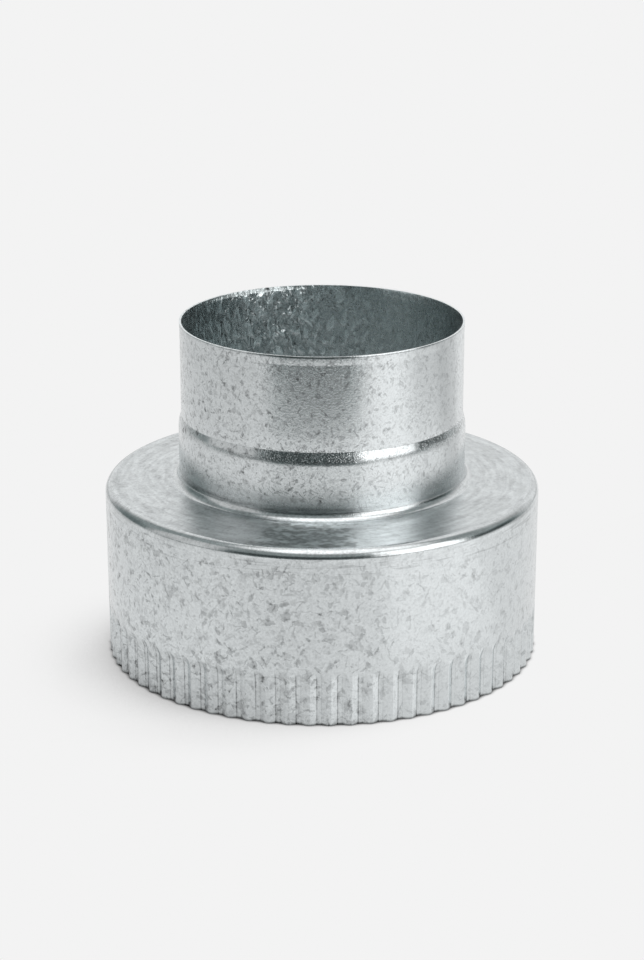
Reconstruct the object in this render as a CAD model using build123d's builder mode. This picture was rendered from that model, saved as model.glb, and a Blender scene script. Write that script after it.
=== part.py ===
import os
from math import atan2, hypot, pi, radians, tan

from build123d import *

# A duct reducer pressed and spun from one disc of galvanised sheet: a wide body whose crimped end
# slides into a pipe, a gently sloping shoulder, and a narrow stepped collar that takes a hose.
# Heights are measured up from the crimped edge, along the duct's axis.

# Sheet
sheet = 0.7

# Body and its shoulder, which rises from the body's edge to the foot of the collar
body_diameter = 152.4
body_height = 61.6
shoulder_slope = 2.3
shoulder_edge_radius = 3.4

# Collar: a lower band, a conical step that stops the hose, and the spigot above it
spigot_diameter = 98.4
overall_height = 118.75
step_height = 86.4
step_length = 3.4
step_depth = 0.95
foot_radius = 3.0
step_foot_radius = 5.0
step_top_radius = 0.8

# Lip: the top of the spigot, opened a hair where the edge was trimmed
lip_length = 3.0
lip_flare = 0.15

# Crimps: straight grooves rolled inwards around the body's free end, each run out to a point
crimp_count = 69
first_groove = 3.2
crimp_length = 18.5
crimp_runout = 3.4
crimp_depth = 1.1
crest_width = 1.1
groove_width = 1.4

# Outside of the sheet, worked out from the sizes above
body_radius = body_diameter / 2
spigot_radius = spigot_diameter / 2
collar_radius = spigot_radius + step_depth
foot_height = body_height + (body_radius - collar_radius) * tan(radians(shoulder_slope))

# The trimmed edge stands square to the flared lip, so its inner corner is the part's highest point
rim_drop = sheet * lip_flare / hypot(lip_flare, lip_length)
rim_radius = spigot_radius + lip_flare * (1 - rim_drop / lip_length)

# A groove's flank runs from its flat bottom out to the edge of the next crest
crimp_pitch = pi * body_diameter / crimp_count
flank_run = (crimp_pitch - crest_width - groove_width) / 2
flank_spread = flank_run / crimp_depth
flank_mitre = tan(atan2(crimp_depth, flank_run) / 2)
straight_length = crimp_length - crimp_runout


def crimp_form(inset, reach):
    """A bar of trapezoid section, tapered to a point above, that fills one crimp.

    Its inner faces lie inset from the sheet's outside, and it reaches past that outside by reach.
    """
    bottom = crimp_depth + inset
    span = bottom + reach
    half_bottom = groove_width / 2 + inset * flank_mitre
    half_top = half_bottom + span * flank_spread
    tip_height = straight_length + span * crimp_runout / crimp_depth
    with BuildPart() as form:
        with BuildSketch():
            with BuildLine():
                Polyline(
                    (body_radius - bottom, -half_bottom),
                    (body_radius + reach, -half_top),
                    (body_radius + reach, half_top),
                    (body_radius - bottom, half_bottom),
                    close=True,
                )
            make_face()
        extrude(amount=straight_length)
        upper_end = form.faces().sort_by(Axis.Z)[-1]
        loft([upper_end, Vertex(body_radius + reach, 0, tip_height)])
    return form.part


# The ridge is rooted in the middle of the wall, and the groove opens past the wall's outside
ridge = crimp_form(sheet, -sheet / 2)
groove = crimp_form(0, sheet / 2)

with BuildPart() as reducer_shell:
    # Body, shoulder and collar: the outside of the sheet, given its thickness and turned
    with BuildSketch(Plane.XZ):
        with BuildLine():
            FilletPolyline(
                (body_radius, 0),
                (body_radius, body_height),
                (collar_radius, foot_height),
                (collar_radius, step_height - step_length),
                (spigot_radius, step_height),
                (spigot_radius, overall_height - lip_length),
                (rim_radius, overall_height - rim_drop),
                radius=[shoulder_edge_radius, foot_radius, step_foot_radius, step_top_radius, 0],
            )
            offset(amount=sheet, side=Side.LEFT)
        make_face()
    revolve(axis=Axis.Z)
    # Crimps: each ridge stands inside the wall, and its groove is pressed in from outside
    with PolarLocations(0, crimp_count, start_angle=first_groove):
        add(ridge)
    with PolarLocations(0, crimp_count, start_angle=first_groove):
        add(groove, mode=Mode.SUBTRACT)

reducer_shell.part.label = "reducer_shell"
os.makedirs("parts", exist_ok=True)
export_step(reducer_shell.part, "parts/reducer_shell.step")
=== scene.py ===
import math
import bmesh
import bpy
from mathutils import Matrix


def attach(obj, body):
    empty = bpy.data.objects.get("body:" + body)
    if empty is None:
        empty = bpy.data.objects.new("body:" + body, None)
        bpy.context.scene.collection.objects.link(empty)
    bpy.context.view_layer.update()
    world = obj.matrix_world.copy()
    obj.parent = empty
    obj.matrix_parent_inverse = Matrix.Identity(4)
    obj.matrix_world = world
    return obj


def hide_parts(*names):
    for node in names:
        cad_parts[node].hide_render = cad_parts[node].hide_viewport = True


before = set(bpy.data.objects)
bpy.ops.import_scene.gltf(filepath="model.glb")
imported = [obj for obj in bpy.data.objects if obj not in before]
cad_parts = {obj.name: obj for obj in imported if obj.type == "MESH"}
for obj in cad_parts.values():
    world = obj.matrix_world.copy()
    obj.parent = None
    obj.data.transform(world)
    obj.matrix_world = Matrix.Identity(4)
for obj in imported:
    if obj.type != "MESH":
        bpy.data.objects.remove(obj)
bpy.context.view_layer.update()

mm = 0.001
tiny = 0.001 * mm  # points nearer than this are one
middle = (0, 0, 0)

reducerShell = {
    "sheet": 0.7 * mm,
    "bodyRadius": 76.2 * mm,
    "bodyHeight": 61.6 * mm,
    "shoulderSlope": 2.3,  # degrees
    "edgeBend": (3.4 * mm, 9),  # radius, steps
    "collarRadius": 50.15 * mm,
    "footBend": (3.0 * mm, 8),
    "stepBottom": 82.8 * mm,
    "stepFootBend": (10.0 * mm, 6),
    "stepTop": 86.0 * mm,
    "stepTopBend": (0.8 * mm, 3),
    "spigotRadius": 49.2 * mm,
    "lipBottom": 115.75 * mm,
    "lipFlare": 0.15 * mm,
    "lipBend": (8.0 * mm, 2),
    "rimRoll": (0.8 * mm, 0.05 * mm),  # height of the rolled rim, how far it leans in
    "top": 118.75 * mm,
    "cutEdge": (0.15 * mm, 2),  # rounding of the two sheared edges, steps
    "cutAngle": 55,  # degrees past which an edge is a sheared one
    "smoothAngle": 40,
}

crimpedEnd = {
    "count": 69,
    "grooveAngle": 3.2,  # one groove's place, in degrees from +X
    # mm along the sheet from the groove's middle, mm deep
    "columns": [(0.42, 1.1), (0.70, 1.067), (1.00, 0.951), (2.62, 0.149), (2.92, 0.033), (3.20, 0.0)],
    "straight": 15.1 * mm,
    # mm up, and the shares of the width and the depth that are left there
    "runOut": [(15.9, 0.93, 0.80), (16.8, 0.78, 0.56), (17.6, 0.58, 0.30), (18.2, 0.36, 0.11),
               (18.5, 0.14, 0.0)],
    "plainWall": 19.6 * mm,
}


def clearSelection():
    if bpy.context.object and bpy.context.object.mode != "OBJECT":
        bpy.ops.object.mode_set(mode="OBJECT")
    bpy.ops.object.select_all(action="DESELECT")


def pickVerts(chosen):
    bpy.ops.mesh.select_all(action="DESELECT")
    mesh = bmesh.from_edit_mesh(bpy.context.object.data)
    for vert in mesh.verts:
        if vert.index in chosen:
            vert.select_set(True)
    mesh.select_flush(True)
    bmesh.update_edit_mesh(bpy.context.object.data)


def selectedRing():  # the ring in work, in order around the axis from +Y
    mesh = bmesh.from_edit_mesh(bpy.context.object.data)
    mesh.verts.index_update()
    ring = [(vert.index, vert.co.copy()) for vert in mesh.verts if vert.select]
    slack = 0.001  # keeps the point on +Y first
    return sorted(ring, key=lambda item: (math.atan2(item[1].x, item[1].y) + slack) % math.tau)


def extrudeRing(height, radius=None):  # draws the open edge up to the next ring
    place = selectedRing()[0][1]
    bpy.ops.mesh.extrude_region_move(TRANSFORM_OT_translate={"value": (0, 0, height - place.z)})
    if radius and abs(radius - place.xy.length) > tiny:
        scale = radius / place.xy.length
        bpy.ops.transform.resize(value=(scale, scale, 1), center_override=middle)


def placeColumns(width, depth):  # moves the ring's columns to the groove's section, narrowed and thinned
    radius = reducerShell["bodyRadius"]
    halfPitch = math.pi / crimpedEnd["count"]
    offsets = [(radius * halfPitch, 0.0)]
    offsets += [(arc * mm * width, deep * mm * depth) for arc, deep in reversed(crimpedEnd["columns"])]
    sides = [(-arc, deep) for arc, deep in offsets] + [(arc, deep) for arc, deep in reversed(offsets[1:])]
    ring = selectedRing()
    for column, (arc, deep) in enumerate(sides):
        first = ring[column][1]
        turn = halfPitch + arc / radius - math.atan2(first.x, first.y)
        scale = (radius - deep) / first.xy.length
        pickVerts({index for index, place in ring[column::len(sides)]})
        if column:
            bpy.ops.transform.rotate(value=turn, orient_axis="Z", center_override=middle)
        bpy.ops.transform.resize(value=(scale, scale, 1), center_override=middle)
    pickVerts({index for index, place in ring})


def bendRing(height, radius, bend):  # rounds a sharp ring to a bend of that radius, in so many steps
    mesh = bmesh.from_edit_mesh(bpy.context.object.data)
    mesh.verts.index_update()
    ring = [vert for vert in mesh.verts
            if abs(vert.co.z - height) < tiny and abs(vert.co.xy.length - radius) < tiny]
    normals = [face.normal for face in ring[0].link_faces]
    turn = max(one.angle(other) for one in normals for other in normals)
    pickVerts({vert.index for vert in ring})
    bpy.ops.mesh.bevel(offset_type="OFFSET", offset=bend[0] * math.tan(turn / 2), segments=bend[1],
                       profile=0.5, affect="EDGES", clamp_overlap=False)


# crimped end, from the sheared edge up to the plain wall
clearSelection()
columnCount = crimpedEnd["count"] * (2 * len(crimpedEnd["columns"]) + 1)
bpy.ops.mesh.primitive_circle_add(vertices=columnCount, radius=reducerShell["bodyRadius"],
                                  fill_type="NOTHING", location=middle)
shell = bpy.context.object
shell.name = "reducerShell"
bpy.ops.object.mode_set(mode="EDIT")
bpy.ops.mesh.select_mode(type="VERT")
bpy.ops.mesh.select_all(action="SELECT")
placeColumns(1.0, 1.0)
extrudeRing(crimpedEnd["straight"])
for rise, width, depth in crimpedEnd["runOut"]:
    extrudeRing(rise * mm)
    placeColumns(width, depth)
extrudeRing(crimpedEnd["plainWall"])
placeColumns(1.0, 0.0)

# body, shoulder, collar and lip: drawn with sharp rings, which are then bent round
slope = math.tan(math.radians(reducerShell["shoulderSlope"]))
shoulderWidth = reducerShell["bodyRadius"] - reducerShell["collarRadius"]
footHeight = reducerShell["bodyHeight"] + slope * shoulderWidth
rollHeight, lean = reducerShell["rimRoll"]
lipRadius = reducerShell["spigotRadius"] + reducerShell["lipFlare"]
shellRings = [  # height, radius, bend
    (reducerShell["bodyHeight"], reducerShell["bodyRadius"], reducerShell["edgeBend"]),
    (footHeight, reducerShell["collarRadius"], reducerShell["footBend"]),
    (reducerShell["stepBottom"], reducerShell["collarRadius"], reducerShell["stepFootBend"]),
    (reducerShell["stepTop"], reducerShell["spigotRadius"], reducerShell["stepTopBend"]),
    (reducerShell["lipBottom"], reducerShell["spigotRadius"], reducerShell["lipBend"]),
    (reducerShell["top"] - rollHeight, lipRadius, None),
    (reducerShell["top"], lipRadius - lean, None),
]
for ringHeight, ringRadius, bend in shellRings:
    extrudeRing(ringHeight, ringRadius)
bpy.ops.mesh.select_all(action="SELECT")
bpy.ops.mesh.normals_make_consistent(inside=False)
for ringHeight, ringRadius, bend in shellRings:
    if bend:
        bendRing(ringHeight, ringRadius, bend)
bpy.ops.mesh.select_all(action="SELECT")
bpy.ops.mesh.remove_doubles(threshold=tiny)
bpy.ops.mesh.normals_make_consistent(inside=False)
pitch = math.tau / crimpedEnd["count"]
grooveNow = math.pi / 2 - pitch / 2
grooveTurn = (grooveNow - math.radians(crimpedEnd["grooveAngle"])) % pitch
bpy.ops.transform.rotate(value=grooveTurn, orient_axis="Z", center_override=middle)
bpy.ops.object.mode_set(mode="OBJECT")
print("shell drawn:", len(shell.data.vertices), "points")


def applyModifier(kind, **settings):
    modifier = shell.modifiers.new(kind.title(), kind)
    for name, value in settings.items():
        setattr(modifier, name, value)
    bpy.ops.object.modifier_apply(modifier=modifier.name)


# the sheet's thickness and its sheared edges
cutRounding, cutSteps = reducerShell["cutEdge"]
applyModifier("SOLIDIFY", thickness=reducerShell["sheet"], offset=-1, use_even_offset=True, use_rim=True)
applyModifier("BEVEL", width=cutRounding, segments=cutSteps, limit_method="ANGLE",
              angle_limit=math.radians(reducerShell["cutAngle"]))
bpy.ops.object.shade_smooth_by_angle(angle=math.radians(reducerShell["smoothAngle"]))
applyModifier("WEIGHTED_NORMAL", mode="FACE_AREA", weight=50, keep_sharp=True)  # flat walls stay flat
print("shell finished:", len(shell.data.polygons), "faces")

# galvanised finish: zinc crystals over the whole sheet, worn to streaks where it was spun
# Places are ramps in mm: up from the crimped edge, sideways with right being more, or out from the axis.
# A noise is its scale per mm, detail, roughness and distortion. Tones are shares of the colour, depths mm.
zincFinish = {
    "colour": (0.700, 0.732, 0.740),
    "brightest": 1.28,  # no mark lifts the colour past this
    "roughness": 0.17,
    "wander": {"noise": (0.55, 3.0, 0.6), "reach": 2.2},  # bends the marks
    "ragged": {"noise": (0.9, 2.0), "reach": 3.0},  # frays the grains
    # a layer of marks: mm apart, half sizes from least to most, softness, and the share of cells with a mark
    "marks": {"spacing": 3.7, "halfLength": (1.1, 2.2), "halfWidth": (0.39, 0.78), "soft": 0.55,
              "share": 0.50, "tone": 0.27, "shift": (0, 0, 0)},
    "hairs": {"spacing": 3.4, "halfLength": (1.375, 2.75), "halfWidth": (0.15, 0.30), "soft": 0.30,
              "share": 0.60, "tone": 0.26, "shift": (31, 17, 53)},
    "specks": {"spacing": 2.0, "halfLength": (0.4, 0.8), "halfWidth": (0.24, 0.48), "soft": 0.35,
               "share": 0.50, "tone": 0.16, "shift": (-23, 41, 11)},
    "grains": {"spacing": 5.6, "halfLength": (1.35, 2.7), "halfWidth": (0.78, 1.56), "soft": 0.35,
               "share": 0.50, "tone": 0.22, "shift": (0, 0, 0)},
    "markDulling": 0.10,  # roughness
    "patch": {"noise": (0.30, 4.0, 0.7), "shown": (0.54, 0.62), "tone": 0.12},
    "mottle": {"noise": (1.1, 3.0, 0.65), "tone": 0.50, "depth": 0.045, "smoothed": 0.7},
    "cloud": {"noise": (0.07, 3.0), "tone": 0.08, "dulling": 0.08},
    "dents": {"noise": (0.035, 1.0), "depth": 0.25},
    "contrast": (-8.0, 36.0, 1.22, 0.66),  # the marks are fainter on the right and stronger on the left: a painted lighter right side and painted shade on the left
    "collar": {"from": (64.5, 65.0), "fineness": 1.5, "contrast": 0.15, "tone": 0.05},
    # spun zones; a spun noise is its turns, its rise per mm and its detail
    "spun": {"band": ((53.0, 60.0), (72.0, 66.0)), "wiped": 0.6, "dulling": 0.16, "weave": 1.4,
             "raggedness": 0.6},
    "lowCollar": ((65.8, 66.5), (78.0, 70.0, 0.0, 0.6)),
    "shoulderFacing": (0.96, 0.995),  # how far up the flat of the shoulder faces
    "scores": {"noise": (5.0, 0.50, 3.0), "tone": 0.8, "depth": 0.07},
    # dashes: dark scuffs, and light dashes that are painted glints
    "dashes": {"noise": (18.0, 0.42, 1.5), "dark": (0.48, 0.60), "light": (0.48, 0.38), "darkTone": 0.32,
               "paintedGlintTone": 0.34, "depth": 0.08, "offFoot": (54.5, 57.0)},
    "handled": {"leftBy": 0.075, "spread": (0.27, 0.21, 0.15, 1.0)},  # radians; dashed most at the front
    "rings": {"noise": (0.2, 0.14, 1.0), "depth": 0.07},
    "rubs": {"noise": (5.0, 1.3, 1.0), "shown": (0.54, 0.66), "band": ((50.0, 55.0), (58.6, 57.8)),
             "tone": 0.18},
    # painted shade in the corner at the collar's foot, more on the left
    "paintedFootShade": {"noise": (4.0, 1.6, 1.0), "shown": (0.35, 0.60, 0.5, 1.0),
                 "band": ((64.6, 65.4), (67.6, 66.4)), "side": (24.0, 8.0, 0.2, 1.0), "tone": 0.42},
    # crimps: mm along the sheet from a groove's middle; the crease, flank and side tones are painted shade
    # and a painted highlight
    "crimps": {"below": (19.0, 16.5), "corner": 0.80, "inner": (0.32, 0.08), "outer": (0.28, 0.05),
               "outerShare": 0.35, "broken": (0.35, 0.55, 0.4, 1.0), "creaseShadeTone": 0.38,
               "flank": ((-0.85, -1.10), (-3.05, -2.80)), "crimpLitSide": (-30.0, 10.0),
               "leftShadeTone": -0.06, "rightDarkTone": -0.03, "flankHighlightTone": 0.16},
    # painted shade along the bottom edge, where the sheet meets the floor
    "paintedContactShade": {"below": (1.0, 0.25), "tone": 0.45},
    # bore: its tone is painted shade on the left half
    "bore": {"facing": (-0.1, -0.4), "left": (25.0, -15.0, 0.25, 1.0), "tone": 0.14, "tint": 0.035,
             "dulling": 0.07},
    # the flecks are painted glints
    "ripple": {"stretch": (1.0, 1.0, 0.6), "noise": (0.42, 1.0, 0.5, 0.6), "paintedGlintFlecks": (0.54, 0.60),
               "fleckGlintTone": 0.62, "leftBy": 17.0, "catching": (15.0, 6.0, 1.0, 1.9), "depth": 0.50},
    "step": {"band": ((82.0, 83.5), (87.5, 86.0)), "leftBy": 3.5, "front": (20.0, 15.0),
             "right": (31.0, 35.0)},
    "speckle": {"noise": (2.0, 1.0), "swing": (0.35, 0.65, -1.0, 1.0), "tone": 0.30,
                "underLip": ((105.0, 113.0, 0.0, 0.6), (116.4, 115.6))},
    "grain": {"noise": (2.2, 1.0), "shown": (0.52, 0.70), "depth": 0.03, "footShare": 0.4,
              "foot": ((63.2, 64.5), (68.0, 66.0))},
    "neck": {"band": (86.0, 91.5), "depth": 0.07},
    "lip": {"band": (117.7, 119.3), "waver": 1.2, "depth": 0.45, "evenly": 0.1, "bent": 0.9,
            "bentSide": ((-4.0, -14.0), (-44.0, -34.0)), "bentBack": (0.0, 5.0)},  # a stretch is bent out
    # painted highlight on the rim's top
    "paintedRimHighlight": {"above": (118.60, 118.72), "tone": 0.30},
}


def openTree(owner):  # empties a material's or the world's nodes, and works in them from here on
    global tree
    owner.use_nodes = True
    tree = owner.node_tree
    tree.nodes.clear()


def addNode(kind, inputs=(), **settings):
    node = tree.nodes.new("ShaderNode" + kind)
    for name, value in settings.items():
        setattr(node, name, value)
    for name, value in dict(inputs).items():
        if isinstance(value, bpy.types.NodeSocket):
            tree.links.new(value, node.inputs[name])
        else:
            node.inputs[name].default_value = value
    return node


def maths(operation, *values):
    return addNode("Math", enumerate(values), operation=operation).outputs[0]


def times(first, *others):
    for other in others:
        first = maths("MULTIPLY", first, other)
    return first


def layer(base, mask, amount):  # lays a mask over the base, as strong as amount
    return maths("MULTIPLY_ADD", mask, amount, base)


def vectors(operation, one, two=None, scale=None):
    inputs = {0: one}
    if two is not None:
        inputs[1] = two
    if scale is not None:
        inputs["Scale"] = scale
    node = addNode("VectorMath", inputs, operation=operation)
    return node.outputs["Value" if operation in ("LENGTH", "DOT_PRODUCT") else "Vector"]


def ramped(value, low, high, start=0.0, end=1.0):
    ends = {"Value": value, "From Min": low, "From Max": high, "To Min": start, "To Max": end}
    return addNode("MapRange", ends, interpolation_type="SMOOTHSTEP").outputs["Result"]


def banded(value, rise, fall):  # shows between two ramps
    return times(ramped(value, *rise), ramped(value, *fall))


def offMiddle(value, leftBy):  # how far to either side of a line that lies so far left
    return maths("ABSOLUTE", maths("ADD", value, leftBy))


def blended(share, one, two):
    return maths("ADD", one, times(share, maths("SUBTRACT", two, one)))


def noise(place, scale, detail, roughness=0.5, distortion=0.0):
    settings = {"Scale": scale, "Detail": detail, "Roughness": roughness, "Distortion": distortion}
    return addNode("TexNoise", {"Vector": place, **settings}).outputs


def drifted(place, colour, reach):  # moves a pattern's points by a noise's colour
    return vectors("ADD", place, vectors("SCALE", vectors("SUBTRACT", colour, (0.5, 0.5, 0.5)), scale=reach))


def inSurface(vector, normal):
    return vectors("SUBTRACT", vector, vectors("PROJECT", vector, normal))


def strokes(place, normal, look):  # short dull marks, each lying its own way in the surface
    spread = {"Vector": place, "Scale": 1.0 / look["spacing"], "Randomness": 1.0}
    cells = addNode("TexVoronoi", spread).outputs
    chance = addNode("TexWhiteNoise", {"Vector": cells["Position"]}).outputs["Color"]
    size = addNode("SeparateColor", {0: chance}).outputs
    offset = inSurface(vectors("SUBTRACT", place, cells["Position"]), normal)
    lie = vectors("NORMALIZE", inSurface(vectors("SUBTRACT", cells["Color"], (0.5, 0.5, 0.5)), normal))
    along = vectors("DOT_PRODUCT", offset, lie)
    across = vectors("LENGTH", vectors("SUBTRACT", offset, vectors("SCALE", lie, scale=along)))
    tip = maths("DIVIDE", along, ramped(size["Red"], 0.0, 1.0, *look["halfLength"]))
    taper = maths("SUBTRACT", 1.0, maths("POWER", maths("ABSOLUTE", tip), 2.0))
    halfWidth = ramped(size["Green"], 0.0, 1.0, *look["halfWidth"])
    inside = maths("SUBTRACT", times(halfWidth, taper), across)
    chosen = addNode("MapRange", {"Value": size["Blue"], "From Min": look["share"], "From Max": 0.0})
    shown = maths("SQRT", chosen.outputs["Result"])
    return times(ramped(inside, -0.5 * look["soft"], 0.5 * look["soft"]), shown)


galvanised = bpy.data.materials.new("galvanisedSheet")
openTree(galvanised)
inMetres = addNode("TexCoord").outputs["Object"]
spot = addNode("Mapping", {"Vector": inMetres, "Scale": (1 / mm, 1 / mm, 1 / mm)}).outputs[0]
sideways, backward, height = addNode("SeparateXYZ", {0: spot}).outputs
facing = addNode("NewGeometry").outputs["Normal"]
flat = vectors("MULTIPLY", spot, (1, 1, 0))
fromAxis = vectors("LENGTH", flat)
outward = vectors("NORMALIZE", flat)

# the collar was drawn thinner, so its grain is finer
collar = zincFinish["collar"]
onCollar = ramped(height, *collar["from"])
grown = vectors("SCALE", spot, scale=layer(1.0, onCollar, collar["fineness"] - 1.0))
wander = noise(grown, *zincFinish["wander"]["noise"])
warped = drifted(grown, wander["Color"], zincFinish["wander"]["reach"])
ragged = noise(grown, *zincFinish["ragged"]["noise"])
ragged = drifted(warped, ragged["Color"], zincFinish["ragged"]["reach"])

# dull marks and hair lines between the zinc grains, fewer where the sheet was spun
spunLook = zincFinish["spun"]
spun = banded(height, *spunLook["band"])
plain = layer(1.0, spun, -spunLook["wiped"])
swell = noise(warped, *zincFinish["patch"]["noise"])["Fac"]
patch = times(ramped(swell, *zincFinish["patch"]["shown"]), plain)
dulling = times(patch, zincFinish["patch"]["tone"])
marked = {}
for name, ground in (("marks", warped), ("hairs", warped), ("specks", warped), ("grains", ragged)):
    look = zincFinish[name]
    marked[name] = times(strokes(vectors("ADD", ground, look["shift"]), facing, look), plain)
    dulling = layer(dulling, marked[name], look["tone"])
# painted light and shade by side: the marks and mottle are stronger on the left and fainter on the right
contrast = ramped(sideways, *zincFinish["contrast"])
dulling = times(dulling, layer(1.0, onCollar, collar["contrast"]), contrast)
mottle = noise(grown, *zincFinish["mottle"]["noise"])["Fac"]
mottled = times(maths("SUBTRACT", mottle, 0.5), contrast)
cloud = maths("SUBTRACT", noise(spot, *zincFinish["cloud"]["noise"])["Fac"], 0.5)
dents = noise(spot, *zincFinish["dents"]["noise"])["Fac"]

# spinning streaks around the shoulder, its edge and the collar's foot: long scores, short dashes, faint
# rings; the light dashes are painted glints, and the collar's foot gets painted shade
alongSheet = layer(maths("SUBTRACT", fromAxis, height), wander["Fac"], spunLook["weave"])


def spunNoise(turns, rise, detail, run):  # noise drawn out around the axis
    climb = addNode("CombineXYZ", {2: times(run, rise)}).outputs[0]
    place = vectors("ADD", vectors("SCALE", outward, scale=turns), climb)
    return noise(place, 1.0, detail, spunLook["raggedness"])["Fac"]


onShoulder = ramped(addNode("SeparateXYZ", {0: facing}).outputs["Z"], *zincFinish["shoulderFacing"])
scores = times(maths("SUBTRACT", spunNoise(*zincFinish["scores"]["noise"], alongSheet), 0.5), spun)
rings = times(spunNoise(*zincFinish["rings"]["noise"], alongSheet), onShoulder)
dashLook = zincFinish["dashes"]
bearing = maths("ARCTAN2", sideways, times(backward, -1.0))
handled = ramped(offMiddle(bearing, zincFinish["handled"]["leftBy"]), *zincFinish["handled"]["spread"])
dashed = times(onShoulder, handled)
dashNoise = spunNoise(*dashLook["noise"], alongSheet)
darkDashes = times(ramped(dashNoise, *dashLook["dark"]), dashed)
# painted glints: light dashes on the front of the shoulder
paintedGlintDashes = times(ramped(dashNoise, *dashLook["light"]), dashed)
dashes = times(dashNoise, dashed, ramped(fromAxis, *dashLook["offFoot"]))
rubLook = zincFinish["rubs"]
rubs = ramped(spunNoise(*rubLook["noise"], height), *rubLook["shown"])
rubs = times(rubs, banded(height, *rubLook["band"]))
# painted shade at the collar's foot, darker on the left
footShadeLook = zincFinish["paintedFootShade"]
footShade = ramped(spunNoise(*footShadeLook["noise"], height), *footShadeLook["shown"])
footShade = times(footShade, banded(height, *footShadeLook["band"]), ramped(sideways, *footShadeLook["side"]))

# crimps: a painted shade line at each groove's corners and a painted highlight on one flank; the crimped zone
# is darkened as painted shade, most on the left
crimpLook = zincFinish["crimps"]
onCrimps = ramped(height, *crimpLook["below"])
perTurn = crimpedEnd["count"]
firstGroove = crimpedEnd["grooveAngle"] / 360 * perTurn
pitchCount = layer(-firstGroove, maths("ARCTAN2", backward, sideways), perTurn / math.tau)
offGroove = maths("SUBTRACT", maths("FRACT", maths("ADD", pitchCount, 0.5)), 0.5)
offGroove = times(offGroove, math.tau * reducerShell["bodyRadius"] / mm / perTurn)
inner = ramped(offMiddle(offGroove, crimpLook["corner"]), *crimpLook["inner"])
outer = ramped(offMiddle(offGroove, -crimpLook["corner"]), *crimpLook["outer"])
paintedCreaseShade = times(layer(inner, outer, crimpLook["outerShare"]), onCrimps, ramped(swell, *crimpLook["broken"]))
crimpLitSide = ramped(sideways, *crimpLook["crimpLitSide"])  # painted shade: the crimps on the left are darker
crimpDarkening = blended(crimpLitSide, crimpLook["leftShadeTone"], crimpLook["rightDarkTone"])
flankHighlight = blended(crimpLitSide, crimpDarkening, crimpLook["flankHighlightTone"])
# painted highlight on the flank band, painted shade over the rest of the crimped zone
flank = times(blended(banded(offGroove, *crimpLook["flank"]), crimpDarkening, flankHighlight), onCrimps)
# painted shade: the lowest millimetre of the sheet is darker where it meets the floor
paintedContactShade = ramped(height, *zincFinish["paintedContactShade"]["below"])

# inside, the sheet is rippled; its left half has painted glints as light flecks and is darkened as painted
# shade
bore = zincFinish["bore"]
rippleLook = zincFinish["ripple"]
inBore = ramped(vectors("DOT_PRODUCT", facing, outward), *bore["facing"])
leftHalf = ramped(sideways, *bore["left"])
inLeft = times(inBore, leftHalf)
ripple = noise(vectors("MULTIPLY", spot, rippleLook["stretch"]), *rippleLook["noise"])["Fac"]
paintedGlintFlecks = times(ramped(ripple, *rippleLook["paintedGlintFlecks"]), inLeft)
catching = ramped(offMiddle(sideways, rippleLook["leftBy"]), *rippleLook["catching"])  # most at the back left
rippled = times(ripple, catching, inLeft)

# the step is rough in front and at the far right, and the collar is speckled under its lip
stepLook = zincFinish["step"]
speckleLook = zincFinish["speckle"]
onStep = banded(height, *stepLook["band"])
inFront = ramped(offMiddle(sideways, stepLook["leftBy"]), *stepLook["front"])
rough = maths("MAXIMUM", inFront, ramped(sideways, *stepLook["right"]))
speckled = layer(times(onStep, rough), banded(height, *speckleLook["underLip"]), inFront)
speckle = times(ramped(noise(spot, *speckleLook["noise"])["Fac"], *speckleLook["swing"]), speckled)
grainLook = zincFinish["grain"]
grain = ramped(noise(spot, *grainLook["noise"])["Fac"], *grainLook["shown"])
grain = times(grain, layer(onStep, banded(height, *grainLook["foot"]), grainLook["footShare"]), rough)
neck = times(ramped(height, *zincFinish["neck"]["band"]), maths("SUBTRACT", 1.0, inBore))
lipLook = zincFinish["lip"]
bent = times(banded(sideways, *lipLook["bentSide"]), ramped(backward, *lipLook["bentBack"]))
lip = ramped(layer(height, swell, lipLook["waver"]), *lipLook["band"])
lip = times(lip, layer(lipLook["evenly"], bent, lipLook["bent"]), inBore)
# painted highlight on the top of the rim
paintedRimHighlight = ramped(height, *zincFinish["paintedRimHighlight"]["above"])

# colour
shade = maths("SUBTRACT", 1.0, dulling)
shade = maths("ADD", shade, flank)
# the crease, foot, contact and left-bore tones are painted shade; the glint dashes, flecks and rim tone are
# painted highlights
for mask, tone in (
    (paintedCreaseShade, -crimpLook["creaseShadeTone"]),
    (paintedContactShade, -zincFinish["paintedContactShade"]["tone"]),
    (cloud, zincFinish["cloud"]["tone"]),
    (mottled, zincFinish["mottle"]["tone"]),
    (scores, zincFinish["scores"]["tone"]),
    (darkDashes, -dashLook["darkTone"]),
    (paintedGlintDashes, dashLook["paintedGlintTone"]),
    (rubs, -rubLook["tone"]),
    (footShade, -footShadeLook["tone"]),
    (onCollar, collar["tone"]),
    (paintedGlintFlecks, rippleLook["fleckGlintTone"]),
    # painted shade on the left half of the bore
    (inLeft, -bore["tone"]),
    (speckle, speckleLook["tone"]),
    (paintedRimHighlight, zincFinish["paintedRimHighlight"]["tone"]),
):
    shade = layer(shade, mask, tone)
shade = maths("MINIMUM", shade, zincFinish["brightest"])
tint = addNode("CombineXYZ", {0: layer(1.0, inBore, -bore["tint"]), 1: 1.0, 2: 1.0}).outputs[0]
colour = vectors("MULTIPLY", vectors("SCALE", zincFinish["colour"], scale=shade), tint)

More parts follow.
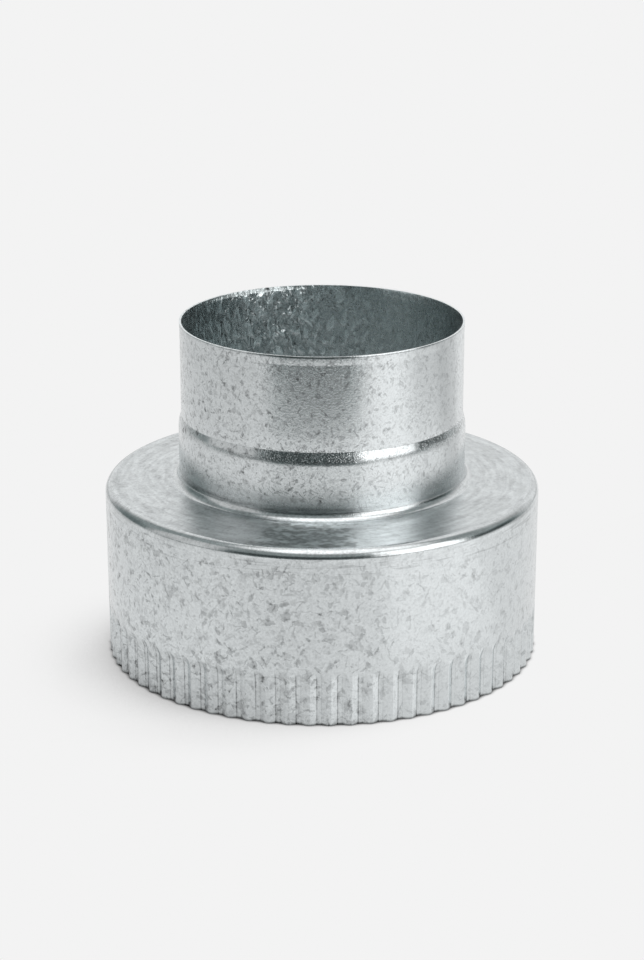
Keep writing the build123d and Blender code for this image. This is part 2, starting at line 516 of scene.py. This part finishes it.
# gloss
dull = maths("MAXIMUM", marked["marks"], maths("MAXIMUM", marked["hairs"], marked["specks"]))
roughness = layer(zincFinish["roughness"], dull, zincFinish["markDulling"])
roughness = layer(roughness, cloud, zincFinish["cloud"]["dulling"])
roughness = layer(roughness, inBore, bore["dulling"])
spunMetal = maths("ADD", banded(height, *zincFinish["lowCollar"]), onShoulder)
roughness = layer(roughness, spunMetal, spunLook["dulling"])

# relief: the zinc sparkles, the sheet is never quite flat, the spun zones are scored, the bore is rippled
smoothed = layer(1.0, maths("ADD", spun, onStep), -zincFinish["mottle"]["smoothed"])
relief = times(mottle, smoothed, zincFinish["mottle"]["depth"])
for form, depth in (
    (dents, zincFinish["dents"]["depth"]),
    (times(scores, onShoulder), zincFinish["scores"]["depth"]),
    (dashes, dashLook["depth"]),
    (rings, zincFinish["rings"]["depth"]),
    (rippled, rippleLook["depth"]),
    (lip, -lipLook["depth"]),
    (grain, grainLook["depth"]),
    (neck, zincFinish["neck"]["depth"]),
):
    relief = layer(relief, form, depth)
bump = addNode("Bump", {"Height": relief, "Strength": 1.0, "Distance": mm})

surface = addNode("BsdfPrincipled", {"Base Color": colour, "Roughness": roughness, "Metallic": 1.0,
                                     "Normal": bump.outputs["Normal"]})
addNode("OutputMaterial", {"Surface": surface.outputs["BSDF"]})
shell.data.materials.clear()
shell.data.materials.append(galvanised)
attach(shell, "root")
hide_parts("reducer_shell")
print("galvanised finish done")

# Distances on the floor are metres, and bearings are degrees from the front, right being more.
studio = {
    "page": 0.896,  # what the camera sees of the floor and backdrop
    "shadow": {"from": (0.60, 0.35, 0.72), "reach": 0.16, "open": 0.70, "depth": 2.8, "darkest": 0.48},
    "contact": {"reach": 0.0025, "ramp": (0.30, 0.85, 0.05, 1.0)},
    "samples": 16,
    "floorSize": 16,
    "floorGlow": 0.84,
    # parts of the floor that the metal sees lighter or darker: direction, spread, start, glow
    "softboxPatch": ((0.766, -0.643, 0), (0.85, 0.97), (0.07, 0.16), 0.17),
    "frontLeft": ((-0.26, -0.966, 0), (0.88, 0.98), None, -0.06),
    "rightBack": ((0.891, 0.454, 0), (0.95, 0.99), (0.19, 0.25), -0.22),
    "rightEnd": ((0.999, -0.035, 0), (0.88, 0.97), (0.31, 0.37), -0.20),
    "leftSide": ((-0.05, -0.45), -0.19),  # start, glow
    "rightSide": ((0.05, 0.30), 0.06),
    "tableEnd": {"towards": (-0.06, -1.0, 0), "spread": (0.68, 0.95), "shape": (0.84, 1.0, 1.0),
                 "start": (0.34, 0.40), "glow": 0.12},
    "farFloor": {"start": (0.55, 1.3), "glow": (-0.8, 0.4, 0.05, 0.45)},  # dark in front, paler behind
    "floorTint": (0.1, 0.6, 0.82, 1.0),  # dim floor is bluish
    "room": 0.06,  # the dark room behind the camera
    "roomTint": (0.06, 0.55, 0.80, 1.0),
    # bearing, half width, softness, glow
    "backdrop": (175, 45, 44, 0.80),
    "softbox": (53, 24.5, 9, 1.60),
    "leftCard": (-75, 23, 14, 0.55),
    "leftCorner": (-110, 12, 20, 0.13),
    "rightCard": (98, 20, 18, 0.27),
    "panelTop": (0.75, 0.66),  # sines of the height where the panels end
    "climb": (0.24, 0.42),  # sines between which the room grows paler
    "upperRoom": 0.30,
    "lamp": {"shape": (0.75, 1.0, 1.0), "towards": (0.08, -0.22, 0.972), "spread": (0.86, 0.98),
             "glow": 1.50},
}

# plain pale floor; the metal also sees where the table ends and the softbox falls on it
clearSelection()
bpy.ops.mesh.primitive_plane_add(size=studio["floorSize"], location=middle)
floor = bpy.context.object
floor.name = "studioFloor"
paleFloor = bpy.data.materials.new("paleFloor")
openTree(paleFloor)
floorSpot = addNode("TexCoord").outputs["Object"]
floorAxes = addNode("SeparateXYZ", {0: floorSpot}).outputs
reach = vectors("LENGTH", floorSpot)
heading = vectors("NORMALIZE", floorSpot)
floorGlow = studio["floorGlow"]
for name in ("softboxPatch", "frontLeft", "rightBack", "rightEnd"):
    towards, spread, start, glow = studio[name]
    area = ramped(vectors("DOT_PRODUCT", heading, towards), *spread)
    if start:
        area = times(area, ramped(reach, *start))
    floorGlow = layer(floorGlow, area, glow)
for name in ("leftSide", "rightSide"):
    start, glow = studio[name]
    floorGlow = layer(floorGlow, ramped(floorAxes["X"], *start), glow)
table = studio["tableEnd"]
tableReach = vectors("LENGTH", vectors("MULTIPLY", floorSpot, table["shape"]))
toTableEnd = ramped(vectors("DOT_PRODUCT", heading, table["towards"]), *table["spread"])
floorGlow = blended(times(ramped(tableReach, *table["start"]), toTableEnd), floorGlow, table["glow"])
farGlow = ramped(floorAxes["Y"], *studio["farFloor"]["glow"])
floorGlow = blended(ramped(reach, *studio["farFloor"]["start"]), floorGlow, farGlow)
floorTint = addNode("CombineColor", {0: ramped(floorGlow, *studio["floorTint"]), 1: 1.0, 2: 1.0}).outputs[0]

# soft shadow from the light at the back right, and a dark line where the sheet meets the floor
shadow = studio["shadow"]
lightFrom = addNode("CombineXYZ", enumerate(shadow["from"])).outputs[0]
openness = addNode("AmbientOcclusion", {"Distance": shadow["reach"], "Normal": lightFrom},
                   samples=studio["samples"]).outputs["AO"]
hidden = maths("MAXIMUM", maths("SUBTRACT", shadow["open"], openness), 0.0)
lit = layer(1.0, maths("POWER", hidden, 2.0), -shadow["depth"])
lit = maths("MAXIMUM", lit, shadow["darkest"])
contact = studio["contact"]
gap = addNode("AmbientOcclusion", {"Distance": contact["reach"]}, samples=studio["samples"]).outputs["AO"]
lit = times(lit, ramped(gap, *contact["ramp"]))
seen = addNode("LightPath").outputs["Is Camera Ray"]
floorTint = addNode("MixRGB", {0: seen, 1: floorTint, 2: (1, 1, 1, 1)}).outputs[0]
floorGlow = blended(seen, floorGlow, studio["page"])
floorLight = addNode("Emission", {"Color": floorTint, "Strength": times(floorGlow, lit)})
addNode("OutputMaterial", {"Surface": floorLight.outputs[0]})
floor.data.materials.append(paleFloor)

# soft surroundings: pale backdrop, dark room in front, softboxes to the right and left, light overhead
surround = bpy.data.worlds.new("studioSurround")
bpy.context.scene.world = surround
openTree(surround)
gaze = addNode("TexCoord").outputs["Generated"]
gazeUp = addNode("SeparateXYZ", {0: gaze}).outputs["Z"]
gazeAround = vectors("NORMALIZE", vectors("MULTIPLY", gaze, (1, 1, 0)))
underTop = ramped(gazeUp, *studio["panelTop"])
climb = ramped(gazeUp, *studio["climb"])
roomGlow = studio["room"]
for name in ("backdrop", "softbox", "leftCard", "leftCorner", "rightCard"):
    turned, halfWidth, soft, glow = studio[name]
    towards = (math.sin(math.radians(turned)), -math.cos(math.radians(turned)), 0)
    edges = [math.cos(math.radians(halfWidth + side * soft / 2)) for side in (1, -1)]
    panel = ramped(vectors("DOT_PRODUCT", gazeAround, towards), *edges)
    if name != "backdrop":
        panel = times(panel, underTop)
    if name == "rightCard":
        panel = times(panel, climb)
    roomGlow = layer(roomGlow, panel, glow)
roomGlow = maths("MAXIMUM", roomGlow, times(climb, studio["upperRoom"]))
lamp = studio["lamp"]
toLamp = vectors("NORMALIZE", vectors("MULTIPLY", gaze, lamp["shape"]))
inLamp = ramped(vectors("DOT_PRODUCT", toLamp, lamp["towards"]), *lamp["spread"])
roomGlow = blended(inLamp, roomGlow, lamp["glow"])
roomTint = addNode("CombineColor", {0: ramped(roomGlow, *studio["roomTint"]), 1: 1.0, 2: 1.0}).outputs[0]
roomLight = addNode("Background", {"Color": roomTint, "Strength": roomGlow})
pagePale = addNode("Background", {"Color": (1, 1, 1, 1), "Strength": studio["page"]})
seen = addNode("LightPath").outputs["Is Camera Ray"]
mixed = addNode("MixShader", {0: seen, 1: roomLight.outputs[0], 2: pagePale.outputs[0]})
addNode("OutputWorld", {"Surface": mixed.outputs[0]})
print("studio lit")

# camera at the photograph's view
photoView = {"place": (0, -0.75856, 0.31691), "tilt": 71.29, "lens": 85, "sensor": 36}
bpy.ops.object.camera_add(location=photoView["place"], rotation=(math.radians(photoView["tilt"]), 0, 0))
camera = bpy.context.object
camera.data.lens = photoView["lens"]
camera.data.sensor_width = photoView["sensor"]
bpy.context.scene.camera = camera
bpy.context.scene.view_settings.view_transform = "Standard"
